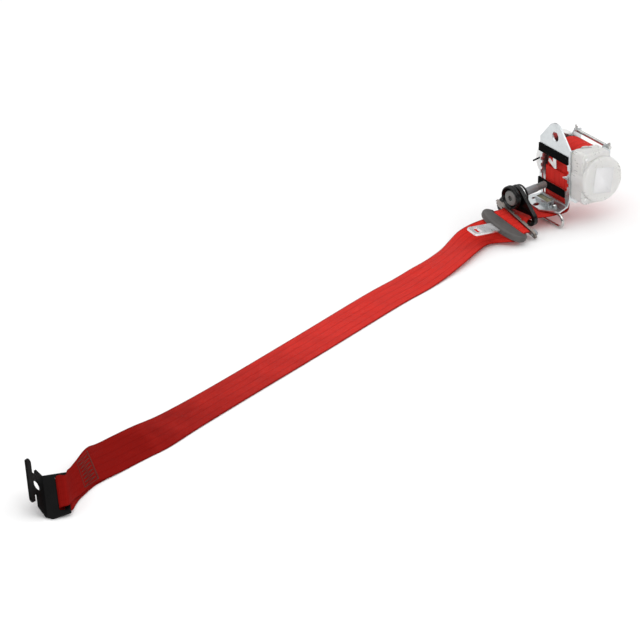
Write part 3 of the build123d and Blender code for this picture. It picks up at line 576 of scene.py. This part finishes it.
# ---------------------------------------------------------------- webbing wound on the spool
def wound():
    """Spiral of webbing with its woven face outside and its stacked edges at both ends."""
    turns, steps = 12, 96
    inner, outer = 10.3, 27.8
    half_width = 23.2
    # Section as (share of the half width, lift off the spiral in mm), rounded at the selvedges.
    section = [(-1, 0), (-0.96, 0.62), (-0.6, 0.66), (0, 0.66), (0.6, 0.66)]
    section += [(0.96, 0.62), (1, 0), (0.96, -0.62), (0, -0.62), (-0.96, -0.62)]
    vertices, uvs = [], []
    count = steps * turns
    run = 0.0
    for i in range(count + 1):
        angle = 2 * math.pi * i / steps
        radius = inner + (outer - inner) * i / count
        run += radius * 2 * math.pi / steps * MM
        # Each turn lies a little off the last, as wound webbing does.
        sway = 0.175 * math.sin(i * 0.11) + 0.1 * math.sin(i * 0.031 + 1)
        for u, lift in section:
            r = radius + lift * 0.8
            spot = Vector((math.cos(angle) * r, u * half_width + sway, math.sin(angle) * r))
            vertices.append(place(spool_at + spot))
            uvs.append(((u * 0.5 + 0.5) * webbing_width * MM, run))
    obj = add_mesh("belt_roll", vertices, tube_faces(count + 1, len(section)), RED, uvs)
    face_outward(obj)
    return obj


belt_roll = wound()
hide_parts("webbing_roll")
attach(belt_roll, "spool")


# ---------------------------------------------------------------- stitching at the anchor end
def on_belt(v, u, lift):
    """Point on the lap webbing and the way up there: v metres from the tongue, u across."""
    travelled = 0.0
    for (a, side_a, width_a), (b, side_b, width_b) in zip(lap_stations, lap_stations[1:]):
        step = (b - a).length
        if travelled + step >= v:
            t = (v - travelled) / step
            side = side_a.lerp(side_b, t).normalized()
            up = (b - a).normalized().cross(side).normalized()
            if up.z < 0:
                up = -up
            width = width_a + (width_b - width_a) * t
            return a.lerp(b, t) + side * (u * width) + up * lift, up
        travelled += step
    return None


def stitches(name, rows, material):
    """Short thread stitches along rows of (v, u) points on the webbing."""
    pitch = 0.0028
    lift = 0.00072
    gap = 0.08
    sides = 6
    # A stitch as (place along it, radius, height): thin and low at both ends.
    end_shape = (0.00014, -0.0001)
    middle_shape = (0.00034, 0.00016)
    profile = ((0.0, *end_shape), (0.2, *middle_shape), (0.8, *middle_shape), (1.0, *end_shape))
    vertices, faces = [], []
    for row in rows:
        for (v0, u0), (v1, u1) in zip(row, row[1:]):
            a, up = on_belt(v0, u0, lift)
            b, _ = on_belt(v1, u1, lift)
            along = b - a
            count = max(1, round(along.length / pitch))
            across = along.normalized().cross(up).normalized()
            for k in range(count):
                p = a.lerp(b, (k + gap) / count)
                q = a.lerp(b, (k + 1 - gap) / count)
                base = len(vertices)
                for t, radius, height in profile:
                    c = p.lerp(q, t) + up * height
                    for side in range(sides):
                        angle = 2 * math.pi * side / sides
                        vertices.append(c + (across * math.cos(angle) + up * math.sin(angle)) * radius)
                faces += tube_faces(len(profile), sides, base)
    return add_mesh(name, vertices, faces, material)


thread = moulded("thread_grey", (0.11, 0.035, 0.028), 0.6, 3000, 0.00005, 0.2, 0.0001, spec=0.1, wear=0.02)
crease_station = lap_per_span * crease
lap_steps = zip(lap_stations[:crease_station], lap_stations[1:])
crease_v = sum((b[0] - a[0]).length for a, b in lap_steps)
sewn_from = crease_v - 0.003
sewn_to = crease_v + 0.024
zigzag_strokes = 14
border = [(sewn_from, -0.42), (sewn_to, -0.40), (sewn_to, 0.40), (sewn_from, 0.42), (sewn_from, -0.42)]
zigzag = []
for k in range(zigzag_strokes + 1):
    stroke_end = 0.003 if k % 2 else sewn_to - sewn_from - 0.003
    zigzag.append((sewn_from + stroke_end, -0.38 + 0.76 * k / zigzag_strokes))
second_row = [(sewn_from + 0.0012, -0.42), (sewn_from + 0.0012, 0.42)]
anchor_stitches = stitches("anchor_stitches", [border, zigzag, second_row], thread)
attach(anchor_stitches, "retractor")


# ---------------------------------------------------------------- label and lug on the retractor
def plate_mesh(name, outline, thickness, stand, material, bevel):
    """Thin plate from a 2D outline in metres, standing on stand (origin, x, y, normal)."""
    origin, x_dir, y_dir, normal = stand
    shell = bmesh.new()
    ring = [shell.verts.new(origin + x_dir * x + y_dir * y) for x, y in outline]
    face = shell.faces.new(ring)
    raised = bmesh.ops.extrude_face_region(shell, geom=[face])["geom"]
    lifted = [part for part in raised if isinstance(part, bmesh.types.BMVert)]
    bmesh.ops.translate(shell, vec=normal * thickness, verts=lifted)
    bmesh.ops.recalc_face_normals(shell, faces=shell.faces)
    if bevel:
        bmesh.ops.bevel(
            shell, geom=shell.edges[:], offset=bevel, segments=2, affect="EDGES", profile=0.6
        )
    mesh = bpy.data.meshes.new(name)
    shell.to_mesh(mesh)
    shell.free()
    mesh.materials.append(material)
    mesh.polygons.foreach_set("use_smooth", [True] * len(mesh.polygons))
    obj = bpy.data.objects.new(name, mesh)
    scene.collection.objects.link(obj)
    return obj


def rounded(width, height, radius, turn, steps=6):
    """Rounded rectangle about 0, turned by turn degrees."""
    points = []
    for cx, cy, start in ((1, 1, 0), (-1, 1, 90), (-1, -1, 180), (1, -1, 270)):
        for k in range(steps + 1):
            angle = math.radians(start + 90 * k / steps)
            x = cx * (width / 2 - radius) + math.cos(angle) * radius
            y = cy * (height / 2 - radius) + math.sin(angle) * radius
            points.append((x, y))
    cos, sin = math.cos(math.radians(turn)), math.sin(math.radians(turn))
    return [(x * cos - y * sin, x * sin + y * cos) for x, y in points]


cover_low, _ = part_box("sensor_cover")
label_at = Vector((place(Vector((28.3, 0, 0))).x, cover_low.y - 0.00002, 0.0575))
label = plate_mesh(
    "label_blank",
    rounded(0.0244, 0.030, 0.0012, -8.0),
    0.00012,
    (label_at, Vector((1, 0, 0)), Vector((0, 0, 1)), Vector((0, -1, 0))),
    label_paper,
    0.0,
)
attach(label, "retractor")


# ---------------------------------------------------------------- prong and clip on the retractor
def rod(name, points, radius, material, sides=14):
    """Round bar along points in the layout's millimetres."""
    path = [place(Vector(p)) for p in smooth_path(points, 8)]
    vertices = []
    normal = Vector((0, 0, 1))
    for i, p in enumerate(path):
        along = (path[min(i + 1, len(path) - 1)] - path[max(i - 1, 0)]).normalized()
        if abs(along.dot(normal)) > 0.95:
            normal = Vector((0, 1, 0))
        a = along.cross(normal).normalized()
        b = a.cross(along)
        for k in range(sides):
            angle = 2 * math.pi * k / sides
            vertices.append(p + (a * math.cos(angle) + b * math.sin(angle)) * radius * MM)
    obj = add_mesh(name, vertices, tube_faces(len(path), sides), material)
    face_outward(obj)
    return obj


prong_route = [(3.0, 27.5, 64.0), (1.0, 29.6, 62.4), (-2.0, 32.6, 60.0), (-4.5, 35.4, 57.6)]
prong = rod("left_prong", prong_route, 1.0, paint_black)
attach(prong, "retractor")
clip_route = [(14.0, -30.5, 91.3), (18.0, -31.0, 92.0), (25.0, -33.0, 90.5), (30.0, -34.0, 86.4)]
clip = rod("cover_clip", clip_route, 0.8, steel_rod)
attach(clip, "retractor")

# Small lug that stands out of the window's right side.
side_lug = plate_mesh(
    "window_lug",
    [(0.0, -0.0024), (0.0, 0.0026), (-0.0035, 0.0018), (-0.0100, -0.0012), (-0.0094, -0.0026)],
    0.0014,
    (place(Vector((1.7, -24.9, 55.4))), Vector((0, -1, 0)), Vector((0, 0, 1)), Vector((-1, 0, 0))),
    steel_latch,
    0.0003,
)
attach(side_lug, "retractor")

# ---------------------------------------------------------------- ribbed rubber boot round the bolt's head
head_radius = 9.0
head_thickness = 4.0
shank_radius = 4.0
running_gap = 0.05
boot_radius = head_radius + 4.4
boot_wall = 1.8
boot_front = -1.0
boot_back = 6.0
boot_shift = (0.6, 0.5)
ribs = 2
rib_depth = 1.3


def boot_section():
    """Axial section as (distance along the bolt, radius, share of the boot's shift), in mm."""
    length = boot_back - boot_front
    steps = ribs * 12
    recess_back = head_thickness + touch_gap
    bore_radius = shank_radius + running_gap
    section = [(boot_front + 0.35, boot_radius - boot_wall, 1.0)]
    for step in range(steps + 1):
        along = length * step / steps
        bead = abs(math.sin(math.pi * along * ribs / length)) ** 0.45
        section.append((boot_front + along, boot_radius - rib_depth * (1.0 - bead), 1.0))
    section.append((boot_back, bore_radius, 0.0))
    section.append((recess_back, bore_radius, 0.0))
    section.append((recess_back, boot_radius - boot_wall, 1.0))
    return section


def revolved(name, origin, axis, section, shift, material, steps=96):
    """Closed ring swept round an axis; a section point may sit a little off that axis."""
    across = Vector((0, 0, 1)).cross(axis).normalized()
    rise = axis.cross(across).normalized()
    count = len(section)
    vertices, faces = [], []
    for step in range(steps):
        turn = 2 * math.pi * step / steps
        outward = across * math.cos(turn) + rise * math.sin(turn)
        for along, radius, share in section:
            off = (across * shift[0] + rise * shift[1]) * share
            vertices.append(place(origin + axis * along + off + outward * radius))
        here = step * count
        there = (step + 1) % steps * count
        for k in range(count):
            after = (k + 1) % count
            faces.append((here + k, here + after, there + after, there + k))
    return add_mesh(name, vertices, faces, material)


boot = revolved("boot_ribbed", bolt_head, bolt_dir, boot_section(), boot_shift, rubber_black)
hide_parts("bolt_boot")
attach(boot, "retractor")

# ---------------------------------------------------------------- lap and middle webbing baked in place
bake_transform(belt_lap)
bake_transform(belt_mid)

# ---------------------------------------------------------------- floor, light, camera
bpy.ops.mesh.primitive_plane_add(size=12, location=(0, 0, 0))
floor = bpy.context.object
floor.name = "floor"
g = Graph("floor_white")
g.use(Base_Color=(0.96, 0.96, 0.96), Roughness=0.9, Specular_IOR_Level=0.1)
floor.data.materials.append(g.material)


def studio_world():
    """Even white light; mirrors see a bright ceiling over darker walls, so gloss keeps its contrast."""
    world = bpy.data.worlds.new("studio")
    world.use_nodes = True
    tree = world.node_tree
    tree.nodes.clear()
    out = tree.nodes.new("ShaderNodeOutputWorld")
    plain = tree.nodes.new("ShaderNodeBackground")
    plain.inputs[0].default_value = (1, 1, 1, 1)
    ray = tree.nodes.new("ShaderNodeLightPath")
    where = tree.nodes.new("ShaderNodeTexCoord")
    split = tree.nodes.new("ShaderNodeSeparateXYZ")
    tree.links.new(where.outputs["Generated"], split.inputs[0])
    sky = tree.nodes.new("ShaderNodeValToRGB")
    sky.color_ramp.elements[0].position = 0.02
    sky.color_ramp.elements[0].color = (0.55, 0.55, 0.56, 1)
    sky.color_ramp.elements[1].position = 0.62
    sky.color_ramp.elements[1].color = (1.3, 1.3, 1.3, 1)
    wall = sky.color_ramp.elements.new(0.32)
    wall.color = (0.16, 0.16, 0.17, 1)
    tree.links.new(split.outputs[2], sky.inputs[0])
    room = tree.nodes.new("ShaderNodeBackground")
    tree.links.new(sky.outputs[0], room.inputs[0])
    choose = tree.nodes.new("ShaderNodeMixShader")
    tree.links.new(ray.outputs["Is Glossy Ray"], choose.inputs[0])
    tree.links.new(plain.outputs[0], choose.inputs[1])
    tree.links.new(room.outputs[0], choose.inputs[2])
    tree.links.new(choose.outputs[0], out.inputs[0])
    return world


scene.world = studio_world()


def soft_light(name, stand, aim, size, energy):
    data = bpy.data.lights.new(name, "AREA")
    data.shape = "RECTANGLE"
    data.size, data.size_y = size
    data.energy = energy
    lamp = bpy.data.objects.new(name, data)
    scene.collection.objects.link(lamp)
    lamp.location = stand
    lamp.rotation_euler = (Vector(aim) - Vector(stand)).to_track_quat("-Z", "Y").to_euler()


soft_light("key", (-0.7, -1.2, 2.0), (0, 0, 0), (1.6, 1.2), 9)
soft_light("side", (1.8, -0.4, 1.0), (0.3, 0.1, 0), (1.0, 1.0), 3)

# Place, direction, distance and lens are fitted to the picture's own view of the belt.
target = place(Vector((-371.8, -100.6, 0)))
camera_distance = 4.5
view = Vector((0.484, 0.775, -0.407)).normalized()
right = Vector((0.848, -0.530, 0)).normalized()
above = right.cross(view).normalized()
cam_data = bpy.data.cameras.new("camera")
cam = bpy.data.objects.new("camera", cam_data)
scene.collection.objects.link(cam)
turned = Matrix((right, above, -view)).transposed().to_4x4()
cam.matrix_world = Matrix.Translation(target - view * camera_distance) @ turned
cam_data.lens = 239.2
cam_data.sensor_width = 36
cam_data.clip_start = 0.1
cam_data.clip_end = 100
cam_data.dof.use_dof = False
scene.camera = cam
scene.view_settings.view_transform = "Standard"
scene.view_settings.look = "None"
